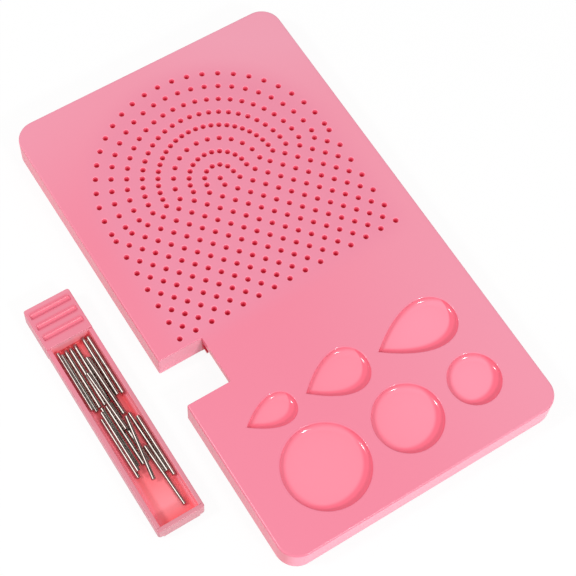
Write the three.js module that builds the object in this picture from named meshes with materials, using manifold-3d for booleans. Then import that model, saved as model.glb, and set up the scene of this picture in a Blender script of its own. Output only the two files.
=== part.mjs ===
// A quilling board with its drawer of steel pins.
// Millimetres, +Z up. The origin is the middle of the board's underside, +Y runs along the
// board towards the pin holes, and +X points away from the drawer.

import * as THREE from 'three';
import {
  mergeGeometries,
  mergeVertices,
  toCreasedNormals,
} from 'three/addons/utils/BufferGeometryUtils.js';
import Module from 'manifold-3d';

const wasm = await Module();
wasm.setup();

// Board
const boardWidth = 98.7;
const boardLength = 169.7;
const boardThickness = 10;
const boardCornerRadius = 7;
const boardEdgeBevel = 0.7;
const boardCornerSteps = 8;

// Pin holes: half rings at the head of the board, staggered rows below them
const ringPitch = 5;
const ringCount = 8;
const fieldHeadMargin = 49.6;            // from the board's head edge to the centre hole
const rowCount = 13;
const rowStepRatio = 0.65359;            // spacing of the rows, in ring pitches
const firstRowRatio = 0.5759;            // from the centre hole to the first row, in ring pitches
const wideRowHoleCount = 15;
const holeDiameter = 1.7;
const holeDepth = 7;
const holeSides = 6;

// Shaping pockets
const pocketDepth = 1.8;
const pocketWallRun = 2;                 // how far a pocket's curved wall reaches in over its floor
const pocketWallSteps = 3;
const pocketSides = 28;
const circleRowMargin = 20;              // from the board's foot edge to the circles' centres
const circleLeftMargin = 11.65;          // from the board's left edge to the large circle
const largeCircleDiameter = 27.6;
const largeCircleGap = 4.45;             // from the large circle to the medium one
const mediumCircleDiameter = 22.3;
const mediumCircleGap = 4.95;            // from the medium circle to the small one
const smallCircleDiameter = 17;
const dropRowMargin = 42.75;             // from the board's foot edge to the teardrops' axis
const dropLeftMargin = 11.9;             // from the board's left edge to the small teardrop
const smallDropLength = 16.9;
const smallDropWidth = 10.6;
const smallDropGap = 4.2;                // from the small teardrop to the medium one
const mediumDropLength = 21.8;
const mediumDropWidth = 15.1;
const mediumDropGap = 4.6;               // from the medium teardrop to the large one
const largeDropLength = 27.9;
const largeDropWidth = 17;

// Pins
const pinDiameter = 1.4;
const pinLength = 22;
const pinSides = 8;
const pinGap = 0.15;                     // play between a pin and what it lies on or beside

// Drawer
const trayPinCount = 8;                  // pins that lie side by side in the tray
const trayRowCount = 3;                  // pins that lie end to end
const traySidePlay = 0.7;
const trayEndPlay = 0.3;
const trayWall = 1.4;
const trayFloor = 1.2;
const ledgeWidth = 0.45;                 // a ledge runs along both sides of the tray, above
const ledgeThickness = 1;                // the step that is cut into its lower edges
const keelWall = 0.9;                    // beside the floor, below that step
const gripLength = 15.35;
const gripDrop = 3;                      // the grip's top lies this far below the board's face
const drawerCornerRadius = 0.8;
const drawerEdgeBevel = 0.3;
const drawerCornerSteps = 3;
const grooveCount = 3;
const grooveWidth = 2.1;
const grooveDepth = 0.8;
const groovePitch = 4.2;
const grooveSides = 12;
const grooveMargin = 1;                  // from the ends of a groove to the grip's sides
const firstGroove = 3;                   // from the grip's outer end to the middle of a groove

// Channel for the drawer, open underneath between two lips
const channelRoof = 3;
const lipWidth = 1.6;
const lipThickness = 1;
const lipSetback = 0.8;                  // from the notch to the lips' ends
const drawerSideClearance = 0.45;
const slotClearance = 0.55;
const lipClearance = 0.3;
const rimClearance = 0.6;
const channelEndPlay = 0.7;
const notchBelowField = 3.15;            // from the last row of holes to the notch

// The drawer lies beside the board
const drawerGap = 10.9;
const drawerHeadMargin = 57.45;          // from the board's head edge to the grip's outer end

// Pins in the tray, as they lie. Lane is the place across the tray and layer the height above
// its floor, both in pin pitches. Along is the way from the grip in pin lengths. Turn is in degrees.
const pinsInTray = [
  { lane: -3.29, layer: 0.7, along: 0.048, turn: 0 },
  { lane: -2.61, layer: 0, along: 0.08, turn: 0 },
  { lane: -1.62, layer: 0, along: 0.048, turn: 0 },
  { lane: -0.53, layer: 0, along: 0.052, turn: 0.1 },
  { lane: 0.57, layer: 0, along: 0.034, turn: 0 },
  { lane: 1.74, layer: 0, along: 0.311, turn: 0.8 },
  { lane: 2.61, layer: 0.65, along: 0.02, turn: 0 },
  { lane: 3.6, layer: 0.8, along: 0.039, turn: 0.3 },
  { lane: -0.34, layer: 1, along: 0.536, turn: 2.9 },
  { lane: 1.21, layer: 1, along: 0.323, turn: 1.7 },
  { lane: -2.63, layer: 0, along: 1.211, turn: 0.7 },
  { lane: -1.46, layer: 0, along: 1.066, turn: 0.2 },
  { lane: -0.43, layer: 0, along: 1.075, turn: 1.05 },
  { lane: 0.6, layer: 0, along: 1.066, turn: 1.5 },
  { lane: 2.66, layer: 0, along: 1.323, turn: 1.6 },
  { lane: 1.86, layer: 0, along: 1.857, turn: 2.5 },
  { lane: -2.03, layer: 0.85, along: 1.145, turn: 0.4 },
  { lane: 3.63, layer: 0.8, along: 1.439, turn: 0.2 },
  { lane: 1.72, layer: 1, along: 1.368, turn: -8.1 },
];

// Sizes that follow from the ones above
const left = -boardWidth / 2;
const head = boardLength / 2;
const foot = -boardLength / 2;
const fieldY = head - fieldHeadMargin;
const lastRowY = fieldY - (firstRowRatio + (rowCount - 1) * rowStepRatio) * ringPitch;
const pinPitch = pinDiameter + pinGap;
const trayInnerWidth = trayPinCount * pinPitch + traySidePlay;
const trayInnerLength = trayRowCount * pinLength + trayEndPlay;
const drawerWidth = trayInnerWidth + 2 * trayWall;
const drawerLength = gripLength + trayInnerLength + trayWall;
const gripHeight = boardThickness - gripDrop;
const rimHeight = boardThickness - channelRoof - rimClearance;
const notchWidth = drawerWidth + 2 * drawerSideClearance;
const notchTop = lastRowY - notchBelowField;
const channelY = notchTop - notchWidth / 2;
const slotWidth = notchWidth - 2 * lipWidth;
const channelLength = drawerLength - gripLength + channelEndPlay;
const rebateHeight = lipThickness + lipClearance;
const keelWidth = slotWidth - 2 * slotClearance;
const ledgeHeight = rebateHeight + ledgeThickness;
const cutOver = 1;                       // how far a cutter reaches past the face it opens
const creaseAngle = 0.6;                 // radians between faces that are shaded as one surface

// Each gap is measured from the board's left edge or the pocket before
const circles = [
  { gap: circleLeftMargin, diameter: largeCircleDiameter },
  { gap: largeCircleGap, diameter: mediumCircleDiameter },
  { gap: mediumCircleGap, diameter: smallCircleDiameter },
];
const tearDrops = [
  { gap: dropLeftMargin, length: smallDropLength, width: smallDropWidth },
  { gap: smallDropGap, length: mediumDropLength, width: mediumDropWidth },
  { gap: mediumDropGap, length: largeDropLength, width: largeDropWidth },
];

// Materials
const boardPlastic = new THREE.MeshStandardMaterial({ color: 0xf68fa5, roughness: 0.42, metalness: 0 });
const drawerPlastic = new THREE.MeshStandardMaterial({ color: 0xee8498, roughness: 0.4, metalness: 0 });
const steel = new THREE.MeshStandardMaterial({ color: 0xb9b5b2, roughness: 0.2, metalness: 1 });

// Solids for cutting and joining
function solid(geometry) {
  const bare = geometry.index ? geometry.toNonIndexed() : geometry.clone();
  bare.deleteAttribute('normal');
  bare.deleteAttribute('uv');
  const merged = mergeVertices(bare, 1e-5);
  return new wasm.Manifold(new wasm.Mesh({
    numProp: 3,
    vertProperties: new Float32Array(merged.attributes.position.array),
    triVerts: new Uint32Array(merged.index.array),
  }));
}

function geometryOf(manifold) {
  const mesh = manifold.getMesh();
  const geometry = new THREE.BufferGeometry();
  geometry.setAttribute('position', new THREE.BufferAttribute(mesh.vertProperties, 3));
  geometry.setIndex(new THREE.BufferAttribute(mesh.triVerts, 1));
  return toCreasedNormals(geometry, creaseAngle);
}

function blockGeometry(x0, x1, y0, y1, z0, z1) {
  const box = new THREE.BoxGeometry(x1 - x0, y1 - y0, z1 - z0);
  return box.translate((x0 + x1) / 2, (y0 + y1) / 2, (z0 + z1) / 2);
}

function block(x0, x1, y0, y1, z0, z1) {
  return solid(blockGeometry(x0, x1, y0, y1, z0, z1));
}

// A rounded rectangle standing on z = 0, with its top and bottom edges bevelled
function plate(width, length, thickness, radius, bevel, steps) {
  const x = width / 2 - radius;
  const y = length / 2 - radius;
  const outline = new THREE.Shape();
  outline.absarc(x, y, radius, 0, Math.PI / 2);
  outline.absarc(-x, y, radius, Math.PI / 2, Math.PI);
  outline.absarc(-x, -y, radius, Math.PI, 1.5 * Math.PI);
  outline.absarc(x, -y, radius, 1.5 * Math.PI, 2 * Math.PI);
  const slab = new THREE.ExtrudeGeometry(outline, {
    depth: thickness - 2 * bevel,
    curveSegments: steps,
    bevelEnabled: true,
    bevelThickness: bevel,
    bevelSize: bevel,
    bevelOffset: -bevel,
    bevelSegments: 1,
  });
  return solid(slab.translate(0, 0, bevel));
}

// Where the pin holes stand
function holePlaces() {
  const places = [[0, fieldY]];
  for (let ring = 1; ring <= ringCount; ring += 1) {
    const doublings = Math.min(2, Math.floor(Math.log2(ring)));
    const steps = 6 * 2 ** doublings;
    for (let i = 0; i <= steps; i += 1) {
      const angle = Math.PI * i / steps;
      const radius = ring * ringPitch;
      places.push([radius * Math.cos(angle), fieldY + radius * Math.sin(angle)]);
    }
  }
  const holePitch = 2 * ringCount * ringPitch / (wideRowHoleCount - 1);
  for (let row = 0; row < rowCount; row += 1) {
    const count = row % 2 === 0 ? wideRowHoleCount : wideRowHoleCount - 1;
    const y = fieldY - (firstRowRatio + row * rowStepRatio) * ringPitch;
    for (let i = 0; i < count; i += 1) {
      places.push([(i - (count - 1) / 2) * holePitch, y]);
    }
  }
  return places;
}

// Every hole's flat sides touch the round hole of the real board
function holeCutters() {
  const outerRadius = holeDiameter / 2 / Math.cos(Math.PI / holeSides);
  const cutters = holePlaces().map(([x, y]) => {
    const length = holeDepth + cutOver;
    const hole = new THREE.CylinderGeometry(outerRadius, outerRadius, length, holeSides);
    hole.rotateX(Math.PI / 2);
    return hole.translate(x, y, boardThickness + cutOver - length / 2);
  });
  return solid(mergeGeometries(cutters));
}

// A pocket's cutter: its outline, drawn in step by step as the wall curves down to a flat floor
function pocketCutter(outlineAt) {
  const rings = [{ inset: 0, z: boardThickness + cutOver }];
  for (let k = 0; k <= pocketWallSteps; k += 1) {
    const angle = (Math.PI / 2) * k / pocketWallSteps;
    rings.push({
      inset: pocketWallRun * (1 - Math.cos(angle)),
      z: boardThickness - pocketDepth * Math.sin(angle),
    });
  }
  const points = rings.flatMap(({ inset, z }) => outlineAt(inset).map(([x, y]) => [x, y, z]));
  const count = pocketSides;
  const triangles = [];
  for (let k = 0; k < rings.length - 1; k += 1) {
    for (let i = 0; i < count; i += 1) {
      const a = k * count + i;
      const b = k * count + (i + 1) % count;
      triangles.push([a, a + count, b + count], [a, b + count, b]);
    }
  }
  const floorStart = (rings.length - 1) * count;
  for (let i = 1; i < count - 1; i += 1) {
    triangles.push([0, i, i + 1], [floorStart, floorStart + i + 1, floorStart + i]);
  }
  const geometry = new THREE.BufferGeometry();
  geometry.setAttribute('position', new THREE.Float32BufferAttribute(points.flat(), 3));
  geometry.setIndex(triangles.flat());
  return solid(geometry);
}

function circlePocket(x, y, diameter) {
  return pocketCutter((inset) => Array.from({ length: pocketSides }, (_, i) => {
    const angle = 2 * Math.PI * i / pocketSides;
    const radius = diameter / 2 - inset;
    return [x + radius * Math.cos(angle), y + radius * Math.sin(angle)];
  }));
}

// A teardrop: x follows -cos(t) and y follows sin(t) * sin(t / 2), which is widest at 0.77.
// Drawn in by the same inset all round, its sharp tip moves further than its round end.
function tearPocket(tipX, y, length, width) {
  const widest = 4 / (3 * Math.sqrt(3));
  const tipAngle = Math.atan(width / widest / length);
  return pocketCutter((inset) => {
    const start = tipX + inset / Math.sin(tipAngle);
    const end = tipX + length - inset;
    const halfWidth = (width / 2 - inset) / widest;
    return Array.from({ length: pocketSides }, (_, i) => {
      const t = -2 * Math.PI * i / pocketSides;
      return [
        (start + end) / 2 - (end - start) / 2 * Math.cos(t),
        y + halfWidth * Math.sin(t) * Math.sin(Math.abs(t) / 2),
      ];
    });
  });
}

// The board: one moulding with its holes, its pockets, and the notch and channel of the drawer
function board() {
  const notchInner = left + gripLength;
  const channelEnd = notchInner + channelLength;
  const channelRoofZ = boardThickness - channelRoof;
  const halfNotch = notchWidth / 2;
  const halfSlot = slotWidth / 2;
  const cuts = [
    holeCutters(),
    block(left - cutOver, notchInner, channelY - halfNotch, channelY + halfNotch,
      -cutOver, boardThickness + cutOver),
    block(notchInner - cutOver, channelEnd, channelY - halfNotch, channelY + halfNotch,
      lipThickness, channelRoofZ),
    block(notchInner - cutOver, notchInner + lipSetback, channelY - halfNotch, channelY + halfNotch,
      -cutOver, lipThickness + cutOver),
    block(notchInner, channelEnd, channelY - halfSlot, channelY + halfSlot,
      -cutOver, lipThickness + cutOver),
  ];
  let circleStart = left;
  for (const { gap, diameter } of circles) {
    circleStart += gap;
    cuts.push(circlePocket(circleStart + diameter / 2, foot + circleRowMargin, diameter));
    circleStart += diameter;
  }
  let tipX = left;
  for (const { gap, length, width } of tearDrops) {
    tipX += gap;
    cuts.push(tearPocket(tipX, foot + dropRowMargin, length, width));
    tipX += length;
  }
  const slab = plate(boardWidth, boardLength, boardThickness, boardCornerRadius, boardEdgeBevel,
    boardCornerSteps);
  return cuts.reduce((body, cut) => body.subtract(cut), slab);
}

// The drawer in its own frame: the grip's outer end at y = 0, the tray running to -y,
// its underside at z = 0 and its long axis at x = 0
function drawer() {
  const side = drawerWidth / 2 + cutOver;
  const tray = -gripLength;
  const end = -drawerLength - cutOver;
  const body = plate(drawerWidth, drawerLength, gripHeight, drawerCornerRadius, drawerEdgeBevel,
    drawerCornerSteps).translate(0, -drawerLength / 2, 0);
  const cuts = [
    block(-side, side, end, tray, rimHeight, gripHeight + cutOver),
    block(-side, -keelWidth / 2, end, tray, -cutOver, rebateHeight),
    block(keelWidth / 2, side, end, tray, -cutOver, rebateHeight),
    trayCavity().translate(0, tray, 0),
  ];
  for (let i = 0; i < grooveCount; i += 1) {
    cuts.push(groove().translate(0, -firstGroove - i * groovePitch, gripHeight));
  }
  return cuts.reduce((rest, cut) => rest.subtract(cut), body);
}

// The hollow of the tray: upright sides down to the ledges, and sloping sides below them
function trayCavity() {
  const wall = trayInnerWidth / 2;
  const bottom = keelWidth / 2 - keelWall;
  const corners = [
    [-bottom, trayFloor],
    [bottom, trayFloor],
    [wall - ledgeWidth, ledgeHeight],
    [wall, ledgeHeight],
    [wall, gripHeight + cutOver],
    [-wall, gripHeight + cutOver],
    [-wall, ledgeHeight],
    [ledgeWidth - wall, ledgeHeight],
  ];
  const section = new THREE.Shape(corners.map(([x, z]) => new THREE.Vector2(x, z)));
  const hollow = new THREE.ExtrudeGeometry(section, { depth: trayInnerLength, bevelEnabled: false });
  return solid(hollow.rotateX(Math.PI / 2));
}

// A groove across the grip: the lower part of a bar that lies along x above the grip's top
function groove() {
  const radius = (grooveWidth ** 2 / 4 + grooveDepth ** 2) / (2 * grooveDepth);
  const length = drawerWidth - 2 * grooveMargin;
  const bar = new THREE.CylinderGeometry(radius, radius, length, grooveSides);
  bar.rotateZ(Math.PI / 2);
  return solid(bar.translate(0, 0, radius - grooveDepth));
}

// A pin, with its head at the origin and its length along -y
function pin() {
  const rod = new THREE.CylinderGeometry(pinDiameter / 2, pinDiameter / 2, pinLength, pinSides);
  return rod.translate(0, -pinLength / 2, 0);
}

const quillingBoard = new THREE.Group();

const boardMesh = new THREE.Mesh(geometryOf(board()), boardPlastic);
boardMesh.name = 'board';
quillingBoard.add(boardMesh);

const drawerGroup = new THREE.Group();
drawerGroup.position.set(left - drawerGap - drawerWidth / 2, head - drawerHeadMargin, 0);
quillingBoard.add(drawerGroup);

const drawerMesh = new THREE.Mesh(geometryOf(drawer()), drawerPlastic);
drawerMesh.name = 'pin_drawer';
drawerGroup.add(drawerMesh);

pinsInTray.forEach(({ lane, layer, along, turn }, i) => {
  const mesh = new THREE.Mesh(pin(), steel.clone());
  mesh.name = `pin_${String(i + 1).padStart(2, '0')}`;
  mesh.position.set(
    lane * pinPitch,
    -gripLength - along * pinLength,
    trayFloor + pinGap + pinDiameter / 2 + layer * pinPitch,
  );
  mesh.rotation.z = THREE.MathUtils.degToRad(turn);
  drawerGroup.add(mesh);
});

export default quillingBoard;
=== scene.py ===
import math
from functools import reduce
import bmesh
import bpy
import numpy as np
from mathutils import Matrix, Vector
from mathutils.geometry import delaunay_2d_cdt


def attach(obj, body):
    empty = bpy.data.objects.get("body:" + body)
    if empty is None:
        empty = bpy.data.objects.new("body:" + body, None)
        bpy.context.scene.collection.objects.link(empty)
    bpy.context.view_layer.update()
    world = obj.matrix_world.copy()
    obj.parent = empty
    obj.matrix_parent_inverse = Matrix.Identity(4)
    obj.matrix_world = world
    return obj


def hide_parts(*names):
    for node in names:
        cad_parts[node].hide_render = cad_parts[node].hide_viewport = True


# Quilling board with its drawer of loose steel pins.
# The shapes are worked out in millimetres and turned into metres when a mesh is made.

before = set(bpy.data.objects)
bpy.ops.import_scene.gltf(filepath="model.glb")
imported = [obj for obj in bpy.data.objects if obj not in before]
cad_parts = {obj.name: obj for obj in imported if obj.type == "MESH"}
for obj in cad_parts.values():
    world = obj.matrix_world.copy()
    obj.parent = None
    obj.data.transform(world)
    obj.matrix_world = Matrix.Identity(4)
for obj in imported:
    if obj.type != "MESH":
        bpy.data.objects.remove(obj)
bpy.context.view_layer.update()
mm = 0.001
print("frame loaded")


# Meshes. A patch is its points and a list of groups of faces.

def unitCircle(count):
    # Cosine and sine at even steps of a full turn
    angle = 2 * np.pi * np.arange(count) / count
    return np.stack([np.cos(angle), np.sin(angle)], -1)


def quarterTurn(steps):
    # Sine and cosine at even steps of a quarter turn, both ends included
    turn = np.linspace(0, np.pi / 2, steps)
    return np.sin(turn), np.cos(turn)


def ringFaces(rings, count):
    # Quads between neighbouring rings, whose points are numbered ring by ring
    i, j = np.meshgrid(np.arange(rings - 1), np.arange(count), indexing="ij")
    k = (j + 1) % count
    return np.stack([i * count + j, i * count + k, (i + 1) * count + k, (i + 1) * count + j],
                    -1).reshape(-1, 4)


def fan(count, start, centre):
    # Triangles from a ring of points to one centre point
    j = np.arange(count)
    return np.stack([start + j, start + (j + 1) % count, np.full(count, centre)], -1)


def closedTube(rings, ends):
    # Rings of points joined one to the next, with a fan to a point at either end
    rows, columns = rings.shape[:2]
    last = rows * columns
    points = np.concatenate([rings.reshape(-1, 3), ends])
    return points, [ringFaces(rows, columns), fan(columns, 0, last), fan(columns, last - columns, last + 1)]


def weld(patches):
    # All patches as one, where points that lie together (to 0.0001 mm) become one point
    points = np.concatenate([p for p, _ in patches])
    starts = np.cumsum([0] + [len(p) for p, _ in patches])
    _, keep, same = np.unique(np.round(points, 4), axis=0, return_index=True, return_inverse=True)
    same = same.ravel()
    faces = []
    for (_, groups), start in zip(patches, starts):
        for group in groups:
            for face in same[group + start].tolist():
                face = [v for n, v in enumerate(face) if v != face[n - 1]]
                if len(set(face)) > 2:
                    faces.append(face)
    return points[keep], faces


def meshOf(name, points, faces):
    mesh = bpy.data.meshes.new(name)
    mesh.from_pydata((points * mm).tolist(), [], faces)
    return mesh


def shadeByAngle(mesh, degrees):
    # Smooth all over, but crisp at edges that turn by more than the angle
    mesh.polygons.foreach_set("use_smooth", [True] * len(mesh.polygons))
    mesh.set_sharp_from_angle(angle=math.radians(degrees))


def turnOutwards(mesh):
    work = bmesh.new()
    work.from_mesh(mesh)
    bmesh.ops.recalc_face_normals(work, faces=work.faces)
    work.to_mesh(mesh)
    work.free()


def addPiece(name, mesh, body, material, replaced):
    piece = bpy.data.objects.new(name, mesh)
    bpy.context.scene.collection.objects.link(piece)
    mesh.materials.append(material)
    even = piece.modifiers.new("evenNormals", "WEIGHTED_NORMAL")   # wide flat faces stay flat
    even.keep_sharp = True
    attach(piece, body)
    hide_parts(*replaced)
    return piece


# Shader maths

class Socket:
    # An output socket, wrapped so that shader maths reads as ordinary expressions

    def __init__(self, tree, link):
        self.tree = tree
        self.link = link

    def maths(self, operation, *others):
        values = {0: self, **{n + 1: other for n, other in enumerate(others)}}
        return self.tree.add("ShaderNodeMath", {"operation": operation}, values).out(0)

    def __add__(self, other):
        return self.maths("ADD", other)

    def __sub__(self, other):
        return self.maths("SUBTRACT", other)

    def __mul__(self, other):
        return self.maths("MULTIPLY", other)

    def __truediv__(self, other):
        return self.maths("DIVIDE", other)

    __radd__ = __add__
    __rmul__ = __mul__

    def __rsub__(self, other):
        return (self * -1.0) + other

    def most(self, other):
        return self.maths("MAXIMUM", other)

    def least(self, other):
        return self.maths("MINIMUM", other)

    def root(self):
        return self.maths("SQRT")

    def size(self):
        return self.maths("ABSOLUTE")

    def smooth(self, low, high):
        # 0 below low, 1 above high and an even S between them
        node = self.tree.add("ShaderNodeMapRange", {"interpolation_type": "SMOOTHSTEP"},
                             {"Value": self, "From Min": low, "From Max": high})
        return node.out("Result")


class Node:
    # A new node, which hands out its output sockets wrapped

    def __init__(self, tree, node):
        self.tree = tree
        self.node = node

    def out(self, name):
        return Socket(self.tree, self.node.outputs[name])


class Tree:
    # A node tree whose nodes all come from one method

    def __init__(self, owner):
        owner.use_nodes = True
        self.nodes = owner.node_tree.nodes
        self.links = owner.node_tree.links
        self.nodes.clear()

    def add(self, kind, settings=None, values=None):
        # Settings first, then a number, a colour or a link for each named or numbered socket
        node = self.nodes.new(kind)
        for name, value in (settings or {}).items():
            setattr(node, name, value)
        for name, value in (values or {}).items():
            if isinstance(value, Socket):
                self.links.new(value.link, node.inputs[name])
            else:
                node.inputs[name].default_value = value
        return Node(self, node)

    def split(self, vector):
        parts = self.add("ShaderNodeSeparateXYZ", None, {0: vector})
        return [parts.out(name) for name in "XYZ"]

    def where(self):
        # The place on the piece, in metres
        return self.add("ShaderNodeTexCoord").out("Object")

    def facing(self):
        # The way the surface faces, as three sockets
        return self.split(self.add("ShaderNodeTexCoord").out("Normal"))

    def blend(self, amount, first, second):
        # First colour at 0, second at 1. These are the numbers of the Mix node's colour sockets.
        return self.add("ShaderNodeMix", {"data_type": "RGBA"}, {0: amount, 6: first, 7: second}).out(2)

    def noise(self, where, scale, detail=3.0):
        values = {"Vector": where, "Scale": scale, "Detail": detail}
        return self.add("ShaderNodeTexNoise", None, values).out("Fac")

    def finish(self, shader, output="ShaderNodeOutputMaterial"):
        self.add(output, None, {"Surface": shader})


def linear(red, green, blue):
    # A screen colour from 0 to 255 as the shader's colour, by the sRGB curve
    screen = np.array([red, green, blue]) / 255.0
    value = np.where(screen <= 0.04045, screen / 12.92, ((screen + 0.055) / 1.055) ** 2.4)
    return (*value.tolist(), 1.0)


black, white = (0.0, 0.0, 0.0, 1.0), (1.0, 1.0, 1.0, 1.0)
satin = {                                  # what the two mouldings share
    "cloudScale": 90.0, "cloud": 0.08,     # slow changes of the gloss
    "grainScale": 2400.0, "grain": 0.03, "grainHeight": 0.0002,
    "ior": 1.5,
}


def plasticFinish(tree, where, colour, glow, roughness):
    # Satin moulded plastic: a faint cloud in the gloss and a very fine grain.
    # The glow is painted light, an emission that stands in for light coming through the plastic.
    cloud = tree.noise(where, satin["cloudScale"])
    grain = tree.noise(where, satin["grainScale"], 2.0)
    bump = tree.add("ShaderNodeBump", None, {
        "Strength": satin["grain"], "Distance": satin["grainHeight"], "Height": grain})
    return tree.add("ShaderNodeBsdfPrincipled", None, {
        "Base Color": colour, "Roughness": cloud * satin["cloud"] + (roughness - satin["cloud"] / 2),
        "Normal": bump.out("Normal"), "IOR": satin["ior"],
        "Emission Color": glow, "Emission Strength": 1.0,
    }).out("BSDF")


# The board: its sizes, its colours and where they lie

board = {
    "width": 98.7, "length": 169.7, "thickness": 10.0,
    "corner": 7.0, "cornerSteps": 18,      # the four corners, seen from above
    "edge": 0.7, "edgeSteps": 7,           # rounding of the outer edges
    "notchEdge": 0.3,                      # rounding of the notch's edges
    "notchCorner": 0.5, "notchSteps": 6,   # rounding where the notch meets the long side
    "sharpFrom": 50,                       # degrees
}
notch = {"depth": 15.35, "top": -9.995, "width": 16.8}      # top is its side towards the head
channel = {
    "end": 34.45, "roof": 7.0,
    "lip": 1.6, "lipHeight": 1.0, "lipStart": 0.8,          # the lips that leave a slot below
    "inset": 0.01,                         # keeps the channel's sides just off the notch's
    "overlap": 0.5,                        # how far the cutting blocks reach into the notch and each other
}
holes = {
    "pitch": 5.0, "rings": 8, "centreY": 35.25,
    "firstRow": 0.5759, "rowStep": 0.65359,                 # both in pitches
    "rows": 13, "across": 15,              # every second row has one hole less
    "diameter": 1.7, "depth": 7.0, "rim": 0.14, "sides": 16,
    "rimHighlight": 0.26,                          # width of the band of painted highlight round a rim
}
pockets = {
    "depth": 1.8, "run": 2.2, "rim": 0.45, "sides": 112,
    "rimTurn": 0.42 * np.pi, "rimSteps": 6, "bendSteps": 14,
    # x, y and radius of the round ones, and x of the tip, y, length and width of the teardrops
    "circles": [(-23.9, -64.85, 13.8), (5.5, -64.85, 11.15), (30.1, -64.85, 8.5)],
    "tears": [(-37.45, -42.1, 16.9, 10.6), (-16.35, -42.1, 21.8, 15.1), (10.05, -42.1, 27.9, 17.0)],
    "tipCrowd": 0.35,                      # how much closer the points stand near a teardrop's tip
    "reach": 20,                           # no hole or pocket goes further than this from its middle
}
notchMiddle = notch["top"] - notch["width"] / 2
notchInner = -board["width"] / 2 + notch["depth"]
tearWidest = 4 / (3 * math.sqrt(3))        # the most that sin t * sin(t / 2) reaches

boardLook = {
    "face": linear(239, 134, 157),
    "pale": linear(239, 157, 177),
    "paleRight": 0.6, "paleHead": 0.7,     # how much of it towards the right and the head
    "fieldShade": linear(235, 140, 164),        # painted shade, duller among the pin holes
    "floor": linear(249, 142, 162),        # the pockets' floors
    "floorRight": linear(249, 150, 171),
    "wall": linear(250, 126, 148),         # painted shade on the pockets' walls, a redder band in from the rim
    "shade": linear(249, 114, 137),        # the pockets' side towards the foot, where the rim shades it
    "upright": linear(229, 105, 129),      # painted shade on the outer walls
    "front": linear(252, 155, 180),        # painted light on those that face the foot
    "rimHighlight": linear(252, 150, 172),         # painted highlight round the rim of a hole
    "mouth": linear(250, 118, 146),        # painted shade just inside a hole
    "deep": linear(232, 64, 92),           # painted shade far down in a hole, and in the channel
    # painted glow in the mouths of the holes and in the channel
    "glow": (0.07, 0.006, 0.014, 1.0), "channelGlow": 0.3,
    "roughness": 0.3,
    "polish": 0.15,                        # roughness of the pockets, which are glossier
}
boardZones = {                             # from and to, in millimetres, of each change
    "paleX": (-20.0, 60.0), "paleY": (30.0, 95.0), "floorX": (-10.0, 30.0),
    "fieldShade": (35.0, 47.0), "fieldY": (-15.0, -4.0), "fieldDepth": (0.1, 0.5),
    "upright": (0.2, 0.7), "front": (0.4, 0.9),             # parts of the surface's direction, not lengths
    "pocket": (-0.9, -0.5), "pocketTop": (0.05, 0.3), "pocketBottom": (0.2, 0.4),
    "wallShift": (-0.7, -0.4), "wall": (0.5, 2.0),          # the outline's shift, and how far in it reaches
    "shadeShift": (1.05, -2.7), "shade": (-0.4, 1.0),
    "holes": (41.2, 41.4), "holesY": (-9.0, -8.0), "holesDepth": (7.1, 7.5),
    "mouth": (0.02, 0.16), "deep": (0.2, 2.6),
    "channelStart": (-0.3, 0.1), "channelEnd": (-0.45, 0.15), "channelSide": (0.0, 0.2),
    "channelRoof": (-0.1, 0.1), "channelFoot": (0.02, 0.1),
}


def holeCentres():
    # The middle hole, then half rings with 6, 12 or 24 equal steps, then staggered rows
    places = [np.zeros((1, 2))]
    for ring in range(1, holes["rings"] + 1):
        steps = 6 * 2 ** min(2, int(math.log2(ring)))
        angle = np.pi * np.arange(steps + 1) / steps
        places.append(ring * holes["pitch"] * np.stack([np.cos(angle), np.sin(angle)], -1))
    spacing = 2 * holes["rings"] * holes["pitch"] / (holes["across"] - 1)
    for row in range(holes["rows"]):
        count = holes["across"] - row % 2
        x = (np.arange(count) - (count - 1) / 2) * spacing
        down = (holes["firstRow"] + row * holes["rowStep"]) * holes["pitch"]
        places.append(np.stack([x, np.full(count, -down)], -1))
    return np.concatenate(places) + [0, holes["centreY"]]


def holePatch(centres):
    # Each hole is a ring carried down a profile of radius and height: a flat band that holds
    # the painted highlight round the rim, a small slope, a straight wall, and a fan for the bottom
    top, bottom = board["thickness"], board["thickness"] - holes["depth"]
    radius, rim, sides = holes["diameter"] / 2, holes["rim"], holes["sides"]
    profile = np.array([[radius + rim + holes["rimHighlight"], top], [radius + rim, top],
                        [radius, top - rim], [radius, bottom]])
    rings = np.zeros((len(centres), len(profile), sides, 3))
    rings[..., :2] = centres[:, None, None] + profile[None, :, None, :1] * unitCircle(sides)
    rings[..., 2] = profile[None, :, None, 1]
    bottoms = np.concatenate([centres, np.full((len(centres), 1), bottom)], -1)
    perHole = len(profile) * sides
    shift = (np.arange(len(centres)) * perHole)[:, None, None]
    walls = (ringFaces(len(profile), sides)[None] + shift).reshape(-1, 4)
    caps = fan(sides, perHole - sides, 0)[None] + shift
    caps[..., 2] = len(centres) * perHole + np.arange(len(centres))[:, None]
    points = np.concatenate([rings.reshape(-1, 3), bottoms])
    return (points, [walls, caps.reshape(-1, 3)]), rings[:, 0, :, :2]


def circleOutline(x, y, radius):
    # A circle whose radius shrinks by the inset
    return lambda inset: [x, y] + (radius - inset) * unitCircle(pockets["sides"])


def tearOutline(tip, y, length, width):
    # A teardrop: x follows -cos t and y follows sin t * sin(t / 2). Drawn in evenly, the tip moves furthest.
    tipAngle = math.atan(width / tearWidest / length)
    t = 2 * np.pi * np.arange(pockets["sides"]) / pockets["sides"]
    t = t - pockets["tipCrowd"] * np.sin(t)

    def at(inset):
        start = tip + inset / math.sin(tipAngle)
        end = tip + length - inset
        half = (width / 2 - inset) / tearWidest
        return np.stack([(start + end) / 2 - (end - start) / 2 * np.cos(t),
                         y + half * np.sin(t) * np.sin(t / 2)], -1)
    return at


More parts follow.
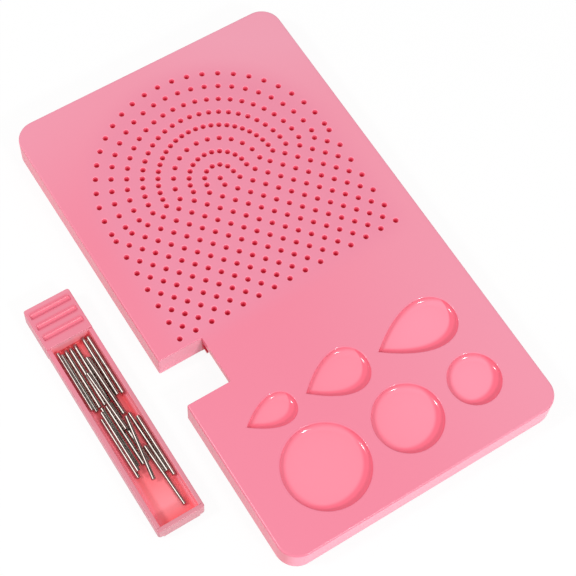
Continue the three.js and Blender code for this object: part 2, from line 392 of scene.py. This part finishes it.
def pocketPatch(outline):
    # The rim turns down in a small arc, and the wall curves in to a flat floor as a quarter ellipse
    top, rim, count = board["thickness"], pockets["rim"], pockets["sides"]
    turn = np.linspace(0, pockets["rimTurn"], pockets["rimSteps"])
    inset = -rim + rim * np.sin(turn)
    z = top - rim + rim * np.cos(turn)
    sine, cosine = quarterTurn(pockets["bendSteps"])
    drop = z[-1] - top + pockets["depth"]
    inset = np.append(inset, inset[-1] + pockets["run"] * (1 - cosine[1:]))
    z = np.append(z, z[-1] - drop * sine[1:])
    rings = np.stack([np.column_stack([outline(i), np.full(count, h)]) for i, h in zip(inset, z)])
    points = np.concatenate([rings.reshape(-1, 3), rings[-1].mean(0)[None]])
    last = len(points) - 1
    return (points, [ringFaces(len(rings), count), fan(count, last - count, last)]), rings[0, :, :2]


def boardOutline():
    # Points round the board, with the way in and the edge's rounding at each. Corners are arcs.
    halfX, halfY = board["width"] / 2, board["length"] / 2
    top, bottom = notch["top"], notch["top"] - notch["width"]
    big, small = board["corner"], board["notchCorner"]
    wide, fine = board["edge"], board["notchEdge"]
    bigSteps, smallSteps = board["cornerSteps"], board["notchSteps"]
    places, ways, edges = [], [], []

    def arc(x, y, radius, start, end, steps, first, last):
        angle = np.radians(np.linspace(start, end, steps))
        unit = np.stack([np.cos(angle), np.sin(angle)], -1)
        places.append([x, y] + radius * unit)
        ways.append(-unit)
        edges.append(np.linspace(first, last, steps))

    def point(x, y, wayX, wayY):
        places.append(np.array([[x, y]]))
        ways.append(np.array([[wayX, wayY]]))
        edges.append(np.array([fine]))

    arc(halfX - big, halfY - big, big, 0, 90, bigSteps, wide, wide)
    arc(big - halfX, halfY - big, big, 90, 180, bigSteps, wide, wide)
    arc(small - halfX, top + small, small, 180, 270, smallSteps, wide, fine)
    point(notchInner, top, 1.0, 1.0)
    point(notchInner, bottom, 1.0, -1.0)
    arc(small - halfX, bottom - small, small, 90, 180, smallSteps, fine, wide)
    arc(big - halfX, big - halfY, big, 180, 270, bigSteps, wide, wide)
    arc(halfX - big, big - halfY, big, 270, 360, bigSteps, wide, wide)
    return np.concatenate(places), np.concatenate(ways), np.concatenate(edges)


def sidePatch():
    # The outline carried down a profile: a quarter round at the top edge, the wall, a quarter round below
    place, way, edge = boardOutline()
    sine, cosine = quarterTurn(board["edgeSteps"])
    inset = edge[None] * (1 - sine)[:, None]
    drop = edge[None] * (1 - cosine)[:, None]
    flat = place[None] + way[None] * inset[..., None]
    upper = np.concatenate([flat, (board["thickness"] - drop)[..., None]], -1)
    lower = np.concatenate([flat, drop[..., None]], -1)[::-1]
    rings = np.concatenate([upper, lower])
    return (rings.reshape(-1, 3), [ringFaces(len(rings), len(place))]), rings[0, :, :2], rings[-1, :, :2]


def insideLoop(points, loop):
    # Which points lie inside a closed loop: they have an odd number of its sides to their right
    x, y = points[:, :1], points[:, 1:]
    ax, ay = loop[:, 0][None], loop[:, 1][None]
    bx, by = np.roll(loop[:, 0], -1)[None], np.roll(loop[:, 1], -1)[None]
    crosses = (ay > y) != (by > y)
    with np.errstate(divide="ignore", invalid="ignore"):
        reach = ax + (y - ay) * (bx - ax) / (by - ay)
    return (np.where(crosses, reach > x, False).sum(1) % 2) == 1


def flatPatch(outer, inner, z):
    # The flat face between an outer loop and the loops of what is sunk into it
    loops = [outer] + inner
    starts = np.cumsum([0] + [len(loop) for loop in loops])
    points = np.concatenate(loops)
    steps = [np.arange(len(loop)) for loop in loops]
    edges = np.concatenate([np.stack([step, (step + 1) % len(step)], -1) + start
                            for step, start in zip(steps, starts)])
    made = delaunay_2d_cdt([Vector(p) for p in points.tolist()], edges.tolist(), [], 0, 1e-7)
    faces = np.array([came[0] for came in made[3]])[np.array(made[2])]
    middle = points[faces].mean(1)
    keep = insideLoop(middle, outer)
    for loop in inner:
        near = np.linalg.norm(middle - loop.mean(0), axis=1) < pockets["reach"]
        keep[near] &= ~insideLoop(middle[near], loop)
    return np.column_stack([points, np.full(len(points), z)]), [faces[keep]]


def cuttingBlock(name, low, high, plan):
    # A block with straight sides over a plan, from one height to the other
    plan = np.array(plan, float)
    count = len(plan)
    points = np.concatenate([np.column_stack([plan, np.full(count, z)]) for z in (low, high)])
    ends = [list(range(count))[::-1], list(range(count, 2 * count))]
    mesh = meshOf(name, points, ringFaces(2, count).tolist() + ends)
    turnOutwards(mesh)
    cutter = bpy.data.objects.new(name, mesh)
    bpy.context.scene.collection.objects.link(cutter)
    return cutter


def channelCutters():
    # The channel above the lips is as wide as the notch. Below, the slot between the lips is narrower,
    # except in front of them.
    half = notch["width"] / 2 - channel["inset"]
    slot = half - channel["lip"]
    start, end = notchInner - channel["overlap"], channel["end"]
    step = notchInner + channel["lipStart"]
    low, high, slotLow, slotHigh = [notchMiddle + away for away in (-half, half, -slot, slot)]
    wide = [(start, low), (end, low), (end, high), (start, high)]
    narrow = [(start, low), (step, low), (step, slotLow), (end, slotLow),
              (end, slotHigh), (step, slotHigh), (step, high), (start, high)]
    return [cuttingBlock("channelSpace", channel["lipHeight"], channel["roof"], wide),
            cuttingBlock("slotSpace", -1.0, channel["lipHeight"] + channel["overlap"], narrow)]


def cutWith(mesh, cutters):
    # The mesh with the cutters taken away, one after another
    work = bpy.data.objects.new("work", mesh)
    bpy.context.scene.collection.objects.link(work)
    for cutter in cutters:
        cut = work.modifiers.new("cut", "BOOLEAN")
        cut.operation = "DIFFERENCE"
        cut.solver = "EXACT"
        cut.object = cutter
    bpy.context.view_layer.update()
    made = bpy.data.meshes.new_from_object(work.evaluated_get(bpy.context.evaluated_depsgraph_get()))
    for extra in [work] + cutters:
        bpy.data.objects.remove(extra)
    return made


def paintRimHighlights(mesh, centres):
    # An attribute on the points for the painted highlight round the holes: 1 at the rims of the holes and 0
    # elsewhere
    slack = 0.01
    places = np.zeros(len(mesh.vertices) * 3)
    mesh.vertices.foreach_get("co", places)
    places = places.reshape(-1, 3) / mm
    rimHighlight = np.zeros(len(places))
    flat = np.flatnonzero(places[:, 2] > board["thickness"] - holes["rim"] - slack)
    away = np.linalg.norm(places[flat, None, :2] - centres[None], axis=2).min(1)
    rimHighlight[flat] = away < holes["diameter"] / 2 + holes["rim"] + slack
    mesh.attributes.new("rimHighlight", "FLOAT", "POINT").data.foreach_set("value", rimHighlight)


def insidePocket(x, y):
    # Millimetres in from the nearest pocket's outline, less than 0 outside. At each share of its length
    # a teardrop reaches share * sqrt(1 - share) to either side, scaled to its width.
    depths = []
    for centreX, centreY, radius in pockets["circles"]:
        acrossX, acrossY = x - centreX, y - centreY
        depths.append(radius - (acrossX * acrossX + acrossY * acrossY).root())
    for tip, middle, length, width in pockets["tears"]:
        share = (x - tip) / length
        along = share.most(0.0).least(1.0)
        half = along * (1.0 - along).root() * (width / tearWidest)
        depths.append(half - (y - middle).size() - (share - along).size() * length)
    return reduce(Socket.most, depths)


def boardPlastic():
    material = bpy.data.materials.new("boardPlastic")
    tree = Tree(material)
    where = tree.where()
    x, y, z = [part * (1 / mm) for part in tree.split(where)]
    faceY, faceZ = tree.facing()[1:]
    look, zone = boardLook, boardZones
    depth = board["thickness"] - z
    pale = x.smooth(*zone["paleX"]) * look["paleRight"] + y.smooth(*zone["paleY"]) * look["paleHead"]
    colour = tree.blend(pale.least(1.0), look["face"], look["pale"])
    # Painted shade on the field of holes: inside a circle above its centre, straight sides below it
    up = (y - holes["centreY"]).most(0.0)
    out = (x * x + up * up).root()
    fieldShade = (1.0 - out.smooth(*zone["fieldShade"])) * y.smooth(*zone["fieldY"])
    colour = tree.blend(fieldShade * (1.0 - depth.smooth(*zone["fieldDepth"])), colour, look["fieldShade"])
    # Painted highlight round the rims of the holes
    rimHighlight = tree.add("ShaderNodeAttribute", {"attribute_name": "rimHighlight"}).out("Fac")
    colour = tree.blend(rimHighlight, colour, look["rimHighlight"])
    # The outer walls, with painted shade, and painted light on those that face the foot
    upright = 1.0 - faceZ.size().smooth(*zone["upright"])
    outer = tree.blend((faceY * -1.0).smooth(*zone["front"]), look["upright"], look["front"])
    colour = tree.blend(upright, colour, outer)
    # The pockets, with painted shade on their walls and on their side towards the foot
    within = insidePocket(x, y).smooth(*zone["pocket"])
    sunk = within * depth.smooth(*zone["pocketTop"]) \
        * (1.0 - (depth - pockets["depth"]).smooth(*zone["pocketBottom"]))
    walls, shaded = [1.0 - insidePocket(x + zone[shift][0], y + zone[shift][1]).smooth(*zone[reach])
                     for shift, reach in (("wallShift", "wall"), ("shadeShift", "shade"))]
    floor = tree.blend(x.smooth(*zone["floorX"]), look["floor"], look["floorRight"])
    below = tree.blend(shaded, tree.blend(walls, floor, look["wall"]), look["shade"])
    colour = tree.blend(sunk, colour, below)
    # The holes and the channel, with painted shade deeper in and a painted glow
    among = (1.0 - out.smooth(*zone["holes"])) * y.smooth(*zone["holesY"]) \
        * (1.0 - depth.smooth(*zone["holesDepth"]))
    mouth = among * depth.smooth(*zone["mouth"])
    deep = among * depth.smooth(*zone["deep"])
    tunnel = (x - notchInner).smooth(*zone["channelStart"]) \
        * (1.0 - (x - channel["end"]).smooth(*zone["channelEnd"])) \
        * (1.0 - ((y - notchMiddle).size() - notch["width"] / 2).smooth(*zone["channelSide"])) \
        * (1.0 - (z - channel["roof"]).smooth(*zone["channelRoof"])) * z.smooth(*zone["channelFoot"])
    colour = tree.blend(mouth, colour, look["mouth"])
    colour = tree.blend(deep.most(tunnel), colour, look["deep"])
    glow = tree.blend(mouth.most(tunnel * look["channelGlow"]), black, look["glow"])
    roughness = look["roughness"] - within * (look["roughness"] - look["polish"])
    tree.finish(plasticFinish(tree, where, colour, glow, roughness))
    return material


def makeBoard():
    # Hole and pocket patches, the side all round, and the flat faces between them, cut for the channel
    centres = holeCentres()
    holesPatch, holeLoops = holePatch(centres)
    patches, loops = [holesPatch], list(holeLoops)
    outlines = [circleOutline(*c) for c in pockets["circles"]] + [tearOutline(*t) for t in pockets["tears"]]
    for outline in outlines:
        patch, loop = pocketPatch(outline)
        patches.append(patch)
        loops.append(loop)
    side, topLoop, bottomLoop = sidePatch()
    patches += [side, flatPatch(topLoop, loops, board["thickness"]), flatPatch(bottomLoop, [], 0.0)]
    mesh = meshOf("boardWhole", *weld(patches))
    turnOutwards(mesh)
    mesh = cutWith(mesh, channelCutters())
    mesh.name = "boardMoulding"
    mesh.materials.clear()
    paintRimHighlights(mesh, centres)
    shadeByAngle(mesh, board["sharpFrom"])
    piece = addPiece("boardMoulding", mesh, "board", boardPlastic(), ["board"])
    print("board", len(mesh.polygons), "faces")
    return piece


# The drawer: its sizes, its colours and where they lie

drawer = {
    "place": (-68.2, 27.4),                # the middle of the grip's outer end
    "width": 15.9, "length": 83.05, "corner": 0.8, "cornerSteps": 14, "edge": 0.3, "edgeSteps": 5,
    "gripLength": 15.35, "gripHeight": 7.0, "gripEdge": 0.35, "gripSteps": 6,
    "rimHeight": 6.4, "rimEdge": 0.22, "across": 9,         # across is the points on each flat strip
    "innerWidth": 13.1, "innerLength": 66.3, "fillet": 0.4,
    "keelWidth": 12.5, "keelHeight": 1.3, "keelEdge": 0.15,
    "floor": 1.2, "floorWidth": 10.7, "ledge": 2.3, "ledgeWidth": 0.45, "ledgeEdge": 0.2,
    "grooves": 3, "grooveWidth": 2.1, "grooveDepth": 0.8, "groovePitch": 4.2, "firstGroove": 3.0,
    "grooveLength": 13.9, "grooveEnd": 0.5, "grooveRings": (-1.7, -13.4, -0.1),        # from, to, step
    "capHeight": 3.3,                      # where the fans at the two ends meet
    "sharpFrom": 50,                       # degrees
}
nearWall = drawer["place"][1] - drawer["gripLength"]       # the tray's two end walls
farWall = nearWall - drawer["innerLength"]

drawerLook = {
    "face": linear(231, 133, 152),
    "head": linear(234, 142, 160),         # the grip's outer edge
    "rim": linear(218, 138, 151),          # the tray's rims, away from the grip
    "cloud": linear(233, 131, 150), "cloudAmount": 0.2, "cloudScale": 60.0,
    "upright": linear(210, 108, 127),      # painted shade on the outer walls that face away from the board
    # painted light on the grooves' walls that face the tray, and painted shade (grooveShade) on those that
    # face the grip's outer end
    "groove": linear(244, 121, 143),
    "grooveShade": linear(226, 104, 128),
    "grooveEdge": linear(234, 112, 134),   # painted shade, soft red, beside a groove
    "floor": linear(248, 150, 158),
    "corner": linear(243, 112, 119),       # painted shade along the foot of the walls inside
    "pinShade": linear(240, 82, 80), "underAmount": 0.5,       # painted shade, deeper red, among the pins
    "ledge": linear(250, 148, 163),        # painted light on the ledge on the side away from the board
    "wall": linear(238, 150, 164),         # inside, above the ledges
    "gripWall": linear(255, 164, 176),     # painted light inside, on the wall below the grip, paler higher up
    "gripWallTop": linear(255, 190, 206),
    # painted glow inside the tray
    "glow": (0.13, 0.008, 0.01, 1.0),
    "roughness": 0.34,
}
drawerZones = {                            # from and to, in millimetres, of each change
    "insideX": (0.02, 0.12), "insideZ": (6.6, 6.8), "insideFoot": (0.9, 1.1),
    "insideNear": (0.05, 0.1), "insideFar": (-0.1, -0.05),
    "cornerX": (3.4, 6.0), "cornerFar": (0.0, 6.0), "cornerNear": (-4.0, 0.0),
    "groove": (6.3, 6.95), "grooveFoot": (5.9, 6.1), "grooveY": (1.0, 1.5),
    "grooveSide": (-0.1, 0.7), "upright": (0.4, 0.9), "cloud": (0.35, 0.7),            # not lengths
    "rim": (18.0, 42.0), "head": (-1.9, -0.8),
    "beside": (0.9, 1.9), "besideX": (6.2, 7.2), "besideZ": (6.9, 6.96),
    "pinShade": (5.0, 17.0), "ledge": (4.0, 5.2), "wall": (1.6, 2.6),
    "gripWall": (-0.35, -0.1), "gripWallZ": (3.5, 6.5),
}


def outerHalf(keel, step, top):
    # Half of the outside as x and z, from the middle of the underside to where the top begins.
    # The tray's section has a step above its narrower keel, the grip's has none.
    half, edge, small = drawer["width"] / 2, drawer["edge"], drawer["keelEdge"]
    sine, cosine = quarterTurn(drawer["edgeSteps"])
    if step:
        x = [0, keel - small, keel, keel, half - small, half]
        z = [0, 0, small, step, step, step + small]
    else:
        x = [0, keel - small, keel, half - edge, half - 0.3 * edge, half]
        z = [0, 0, 0, 0, 0.3 * edge, edge]
    return (np.concatenate([x, half - edge + edge * cosine]),
            np.concatenate([z, top - edge + edge * sine]))


def innerHalf():
    # Half of the tray's top and hollow: over the rim, down the wall, over the ledge, down the slope, floor
    d = drawer
    sine, cosine = quarterTurn(d["edgeSteps"])
    wall, rim, soft, strip = d["innerWidth"] / 2, d["rimEdge"], d["ledgeEdge"], d["across"]
    ledge, foot = wall - d["ledgeWidth"], d["floorWidth"] / 2
    flat = np.linspace(d["width"] / 2 - d["edge"], wall + rim, strip)[1:]
    slope = np.linspace(0, 1, strip)
    floor = np.linspace(foot, 0, strip)[1:]
    x = np.concatenate([flat, wall + rim * (1 - sine[1:]), wall - soft * (1 - cosine),
                        ledge + (foot - ledge) * slope, floor])
    z = np.concatenate([np.full(len(flat), d["rimHeight"]), d["rimHeight"] - rim * (1 - cosine[1:]),
                        d["ledge"] + soft * (1 - sine), d["ledge"] + (d["floor"] - d["ledge"]) * slope,
                        np.full(len(floor), d["floor"])])
    return x, z


def grooveDepth(x, y):
    # Three scoops across the grip: each is round in section and fades out at its ends
    d = drawer
    middle = -d["firstGroove"] - d["groovePitch"] * np.arange(d["grooves"])
    half, depth = d["grooveWidth"] / 2, d["grooveDepth"]
    radius = (half ** 2 + depth ** 2) / (2 * depth)
    away = np.minimum(np.abs(y - middle).min(), half)
    scoop = math.sqrt(radius ** 2 - away ** 2) - (radius - depth)
    end = np.clip((np.abs(x) - d["grooveLength"] / 2 + d["grooveEnd"]) / d["grooveEnd"], 0, 1)
    return scoop * np.sqrt(1 - end ** 2)


def drawerRings():
    # One closed section carried from the grip's outer end to the tray's far end
    d = drawer
    half, keel = d["width"] / 2, d["keelWidth"] / 2
    gripOuter = outerHalf(keel, 0, d["gripHeight"])
    trayOuter = outerHalf(keel, d["keelHeight"], d["rimHeight"])
    trayX, trayZ = innerHalf()
    overRim = d["across"] + d["edgeSteps"] - 3              # points before the tray's inner wall
    spread = (1 - np.linspace(0, 1, len(trayX) - overRim) ** 1.5)          # denser towards the sides
    gripX = np.append(trayX[:overRim], trayX[overRim] * spread)
    nearEdge = d["edge"] + 0.01
    rings = []

    def add(y, outer, x, z, side=0.0, end=0.0):
        # One section, drawn in from the sides, and from above and below near the two ends
        top = outer[1].max()
        ringX, ringZ = np.append(outer[0], x), np.append(outer[1], z)
        ringX = ringX - side * np.clip((ringX - keel) / (half - d["edge"] - keel), 0, 1)
        ringZ = ringZ + end * (ringZ < nearEdge) - end * (ringZ > top - nearEdge)
        ringX, ringZ = np.append(ringX, -ringX[-2:0:-1]), np.append(ringZ, ringZ[-2:0:-1])
        rings.append(np.column_stack([ringX, np.full(len(ringX), y), ringZ]))

    def endInset(distance, radius):
        inside = np.clip(radius - distance, 0, radius)
        return radius - math.sqrt(radius ** 2 - inside ** 2)

    flatGrip, flatRim = np.full(len(gripX), d["gripHeight"]), np.full(len(trayX), d["rimHeight"])
    steps = d["corner"] * (1 - quarterTurn(d["cornerSteps"])[1])
    edgeTurn = list(zip(*quarterTurn(d["edgeSteps"])))
    wallY, farY = -d["gripLength"], -d["gripLength"] - d["innerLength"]
    for step in steps:                                  # the grip's outer end and its upright corners
        add(-step, gripOuter, gripX, flatGrip, endInset(step, d["corner"]), endInset(step, d["edge"]))
    for y in np.arange(*d["grooveRings"]):
        add(y, gripOuter, gripX, flatGrip - grooveDepth(gripX, y))
    for sine, cosine in zip(*quarterTurn(d["gripSteps"])):       # round the grip's inner edge
        add(wallY + d["gripEdge"] * (1 - sine), gripOuter, gripX, flatGrip, 0, d["gripEdge"] * (1 - cosine))
    for sine, cosine in edgeTurn:                       # down into the tray, with a fillet at the floor
        add(wallY - d["fillet"] * (1 - cosine), trayOuter, trayX,
            np.maximum(trayZ, d["floor"] + d["fillet"] * (1 - sine)))
    for sine, cosine in edgeTurn[::-1]:                 # up again from the floor
        add(farY + d["fillet"] * (1 - cosine), trayOuter, trayX,
            np.maximum(trayZ, d["floor"] + d["fillet"] * (1 - sine)))
    for sine, cosine in edgeTurn[::-1]:                 # over the end wall's rim
        add(farY - d["rimEdge"] * (1 - sine), trayOuter, trayX, flatRim - d["rimEdge"] * (1 - cosine))
    for step in steps[::-1]:                            # the tray's outer end
        add(step - d["length"], trayOuter, trayX, flatRim, endInset(step, d["corner"]),
            endInset(step, d["edge"]))
    return np.stack(rings)


def drawerPlastic():
    material = bpy.data.materials.new("drawerPlastic")
    tree = Tree(material)
    where = tree.where()
    x, y, z = [part * (1 / mm) for part in tree.split(where)]
    faceX, faceY = tree.facing()[:2]
    look, zone = drawerLook, drawerZones
    centre, head = drawer["place"]
    away = (x - centre).size()
    # The outside and the grip, with its grooves: painted light and shade in the grooves, painted shade
    # beside them and on the walls that face away from the board
    scoop = tree.blend(faceY.smooth(*zone["grooveSide"]), look["groove"], look["grooveShade"])
    groove = (1.0 - z.smooth(*zone["groove"])) * z.smooth(*zone["grooveFoot"]) \
        * (y - nearWall).smooth(*zone["grooveY"])
    face = tree.blend((head - y).smooth(*zone["rim"]), look["face"], look["rim"])
    face = tree.blend((y - head).smooth(*zone["head"]), face, look["head"])
    apart = [(y - head + drawer["firstGroove"] + number * drawer["groovePitch"]).size()
             for number in range(drawer["grooves"])]
    beside = (1.0 - reduce(Socket.least, apart).smooth(*zone["beside"])) \
        * (1.0 - away.smooth(*zone["besideX"])) * z.smooth(*zone["besideZ"])
    face = tree.blend(beside, face, look["grooveEdge"])
    face = tree.blend((faceX * -1.0).smooth(*zone["upright"]), face, look["upright"])
    colour = tree.blend(groove, face, scoop)
    # The inside of the tray: painted shade along the foot of its walls and among the pins, painted light on
    # the ledge and below the grip, and a painted glow
    inside = (1.0 - (away - drawer["innerWidth"] / 2).smooth(*zone["insideX"])) \
        * (1.0 - z.smooth(*zone["insideZ"])) * z.smooth(*zone["insideFoot"]) \
        * (1.0 - (y - nearWall).smooth(*zone["insideNear"])) * (y - farWall).smooth(*zone["insideFar"])
    corner = away.smooth(*zone["cornerX"]).most(1.0 - (y - farWall).smooth(*zone["cornerFar"])) \
        .most((y - nearWall).smooth(*zone["cornerNear"]))
    gripWall = tree.blend(z.smooth(*zone["gripWallZ"]), look["gripWall"], look["gripWallTop"])
    wall = tree.blend((y - nearWall).smooth(*zone["gripWall"]), look["wall"], gripWall)
    below = tree.blend(corner, look["floor"], look["corner"])
    below = tree.blend((y - farWall).smooth(*zone["pinShade"]) * look["underAmount"], below, look["pinShade"])
    below = tree.blend((centre - x).smooth(*zone["ledge"]), below, look["ledge"])
    below = tree.blend(z.smooth(*zone["wall"]), below, wall)
    colour = tree.blend(inside, colour, below)
    glow = tree.blend(inside, black, look["glow"])
    cloud = tree.noise(where, look["cloudScale"]).smooth(*zone["cloud"])
    colour = tree.blend(cloud * look["cloudAmount"], colour, look["cloud"])
    tree.finish(plasticFinish(tree, where, colour, glow, look["roughness"]))
    return material


def makeDrawer():
    rings = drawerRings()
    ends = rings[[0, -1]].mean(1) * [0, 1, 0] + [0, 0, drawer["capHeight"]]
    points, faces = closedTube(rings, ends)
    mesh = meshOf("drawerMoulding", *weld([(points + [*drawer["place"], 0], faces)]))
    turnOutwards(mesh)
    shadeByAngle(mesh, drawer["sharpFrom"])
    piece = addPiece("drawerMoulding", mesh, "drawer", drawerPlastic(), ["pin_drawer"])
    print("drawer", len(mesh.polygons), "faces")
    return piece


# The pins

pins = {"diameter": 1.4, "length": 22.0, "chamfer": 0.12, "bend": 0.3, "sides": 32, "sharpFrom": 40}
steelLook = {
    "colour": linear(176, 168, 162),
    "stain": linear(150, 142, 136), "stainAmount": 0.5, "stainFrom": (0.4, 0.7),
    "roughness": 0.12,
    "cloudScale": 300.0, "cloud": 0.03,    # slow changes of the gloss
    "drawnScale": 3000.0, "drawn": 0.04,   # fine marks, long in the way that the wire was drawn
    "drawnShape": (1.0, 0.03, 1.0),
}


def pinSteel():
    material = bpy.data.materials.new("pinSteel")
    tree = Tree(material)
    where, look = tree.where(), steelLook
    cloud = tree.noise(where, look["cloudScale"])
    along = tree.add("ShaderNodeMapping", None, {"Vector": where, "Scale": look["drawnShape"]}).out(0)
    drawn = tree.noise(along, look["drawnScale"], 2.0)
    stained = cloud.smooth(*look["stainFrom"]) * look["stainAmount"]
    least = look["roughness"] - (look["drawn"] + look["cloud"]) / 2
    shader = tree.add("ShaderNodeBsdfPrincipled", None, {
        "Base Color": tree.blend(stained, look["colour"], look["stain"]), "Metallic": 1.0,
        "Roughness": drawn * look["drawn"] + cloud * look["cloud"] + least,
    })
    tree.finish(shader.out("BSDF"))
    return material


def pinPatch():
    # A rod along y: a ring carried along a profile of radius and place. Both ends have a bevel in two steps.
    radius, chamfer, length = pins["diameter"] / 2, pins["chamfer"], pins["length"]
    bend = pins["bend"] * chamfer
    profile = np.array([[radius - chamfer, 0], [radius - bend, bend], [radius, chamfer],
                        [radius, length - chamfer], [radius - bend, length - bend],
                        [radius - chamfer, length]])
    circle = unitCircle(pins["sides"])
    x, z = profile[:, :1] * circle[:, 0], profile[:, :1] * circle[:, 1]
    y = np.repeat(profile[:, 1:], pins["sides"], 1) - length / 2
    return closedTube(np.stack([x, y, z], -1), [[0, -length / 2, 0], [0, length / 2, 0]])


def makePins():
    # Each rod lies along the longest way of its CAD node's points, about their middle
    steel = pinSteel()
    points, faces = pinPatch()
    names = sorted(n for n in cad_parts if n.startswith("pin_") and n != "pin_drawer")
    rods = []
    for name in names:
        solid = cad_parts[name].data
        places = np.zeros(len(solid.vertices) * 3)
        solid.vertices.foreach_get("co", places)
        places = places.reshape(-1, 3) / mm
        centre = (places.max(0) + places.min(0)) / 2
        along = np.linalg.svd(places - centre, full_matrices=False)[2][0]
        along = along * np.sign(along[1])
        across = np.cross(along, [0, 0, 1])
        turned = points @ np.stack([across, along, [0, 0, 1]]) + centre
        mesh = meshOf(name + "_rod", *weld([(turned, faces)]))
        turnOutwards(mesh)
        shadeByAngle(mesh, pins["sharpFrom"])
        rods.append(addPiece(name + "_rod", mesh, "pins", steel, [name]))
    print("pins", len(rods))
    return rods


# Floor, light and camera

studio = {
    "skyLight": 0.68,
    "darkRoom": 0.1,                       # how bright the room is in reflections
    "horizon": (0.0, 0.1),                 # below this height reflections are white, as the floor is
    "lamps": [                             # what it falls on, direction in degrees, way off, size, power
        {"name": "leftBox", "on": "mouldings", "azimuth": 163, "elevation": 49, "away": 0.9,
         "size": (0.1, 0.12), "power": 2.5},
        {"name": "frontBox", "on": "mouldings", "azimuth": -79, "elevation": 40, "away": 0.9,
         "size": (0.1, 0.12), "power": 2.5},
        {"name": "steelBox", "on": "steel", "azimuth": 139, "elevation": 58, "away": 0.9,
         "size": (1.1, 0.58), "power": 6.6},
        {"name": "steelFill", "on": "steel", "azimuth": 22, "elevation": 38, "away": 0.9,
         "size": (1.2, 0.4), "power": 0.3},
    ],
    "aim": (-0.01, -0.02, 0.0),
    "floorHalf": 3000, "floorDrop": 0.05,  # millimetres
    "paper": (0.93, 0.93, 0.93, 1.0),
    "floorWhite": 0.92,                    # share of the floor that is plain white to the camera
}
camera = {
    "place": (-0.13498, -0.18351, 0.46163),
    "right": (0.84473, -0.53350, 0.04238),
    "forward": (0.26428, 0.34697, -0.89987),
    "sensor": 36, "nearest": 0.01,
    "lens": 36 * 1608.45 / 576,            # 1608.45 pixels for a picture 576 wide
}


def makeFloor():
    # Paper to the light, but nearly plain white to the camera, a mirror or glass
    half, low = studio["floorHalf"], -studio["floorDrop"]
    corners = np.array([[-half, -half, low], [half, -half, low], [half, half, low], [-half, half, low]])
    mesh = meshOf("tableTop", corners, [[0, 1, 2, 3]])
    floor = bpy.data.objects.new("tableTop", mesh)
    bpy.context.scene.collection.objects.link(floor)
    material = bpy.data.materials.new("tablePaper")
    tree = Tree(material)
    path = tree.add("ShaderNodeLightPath")
    seen = path.out("Is Camera Ray") + path.out("Is Glossy Ray") + path.out("Is Transmission Ray")
    amount = seen.least(1.0) * studio["floorWhite"]
    paper = tree.add("ShaderNodeBsdfDiffuse", None, {"Color": studio["paper"]})
    glow = tree.add("ShaderNodeEmission", None, {"Color": white, "Strength": 1.0})
    mix = tree.add("ShaderNodeMixShader", None, {0: amount, 1: paper.out(0), 2: glow.out(0)})
    tree.finish(mix.out(0))
    mesh.materials.append(material)
    return floor


def placed(place, right, back):
    # Where a lamp or camera stands, with its back and right sides facing these ways
    right = (right - back * right.dot(back)).normalized()
    return Matrix.Translation(place) @ Matrix((right, back.cross(right), back)).transposed().to_4x4()


def makeWorld():
    # White to the camera and below the horizon, a dark room in reflections, and a plain light on the rest
    world = bpy.data.worlds.new("studio")
    bpy.context.scene.world = world
    tree = Tree(world)
    height = tree.split(tree.add("ShaderNodeTexCoord").out("Generated"))[2]
    path = tree.add("ShaderNodeLightPath")
    mirror = path.out("Is Glossy Ray")
    bright = ((1.0 - height.smooth(*studio["horizon"])) * mirror).most(path.out("Is Camera Ray"))
    bright = bright.most(path.out("Is Transmission Ray"))
    light, dark, full = [
        tree.add("ShaderNodeBackground", None, {"Color": white, "Strength": strength}).out(0)
        for strength in (studio["skyLight"], studio["darkRoom"], 1.0)]
    room = tree.add("ShaderNodeMixShader", None, {0: mirror, 1: light, 2: dark})
    sky = tree.add("ShaderNodeMixShader", None, {0: bright, 1: room.out(0), 2: full})
    tree.finish(sky.out(0), "ShaderNodeOutputWorld")


def makeLamps():
    # Each lamp lights only the pieces in its own collection
    lit = {lamp["on"]: bpy.data.collections.new(lamp["on"]) for lamp in studio["lamps"]}
    for lamp in studio["lamps"]:
        light = bpy.data.lights.new(lamp["name"], "AREA")
        light.shape = "RECTANGLE"
        light.size, light.size_y = lamp["size"]             # along the board and across it
        light.energy = lamp["power"]
        holder = bpy.data.objects.new(lamp["name"], light)
        turn, rise = math.radians(lamp["azimuth"]), math.radians(lamp["elevation"])
        back = Vector((math.cos(turn) * math.cos(rise), math.sin(turn) * math.cos(rise), math.sin(rise)))
        holder.matrix_world = placed(Vector(studio["aim"]) + back * lamp["away"], Vector((0, 1, 0)), back)
        holder.light_linking.receiver_collection = lit[lamp["on"]]
        bpy.context.scene.collection.objects.link(holder)
    return lit


def makeCamera():
    data = bpy.data.cameras.new("view")
    data.sensor_width = camera["sensor"]
    data.lens = camera["lens"]
    data.clip_start = camera["nearest"]
    holder = bpy.data.objects.new("view", data)
    holder.matrix_world = placed(Vector(camera["place"]), Vector(camera["right"]),
                                 -Vector(camera["forward"]).normalized())
    bpy.context.scene.collection.objects.link(holder)
    bpy.context.scene.camera = holder


makeCamera()
floor = makeFloor()
makeWorld()
lit = makeLamps()
print("studio ready")
for piece in (floor, makeBoard(), makeDrawer()):
    lit["mouldings"].objects.link(piece)
for piece in makePins():
    lit["steel"].objects.link(piece)
bpy.context.scene.view_settings.view_transform = "Standard"

bpy.context.view_layer.update()
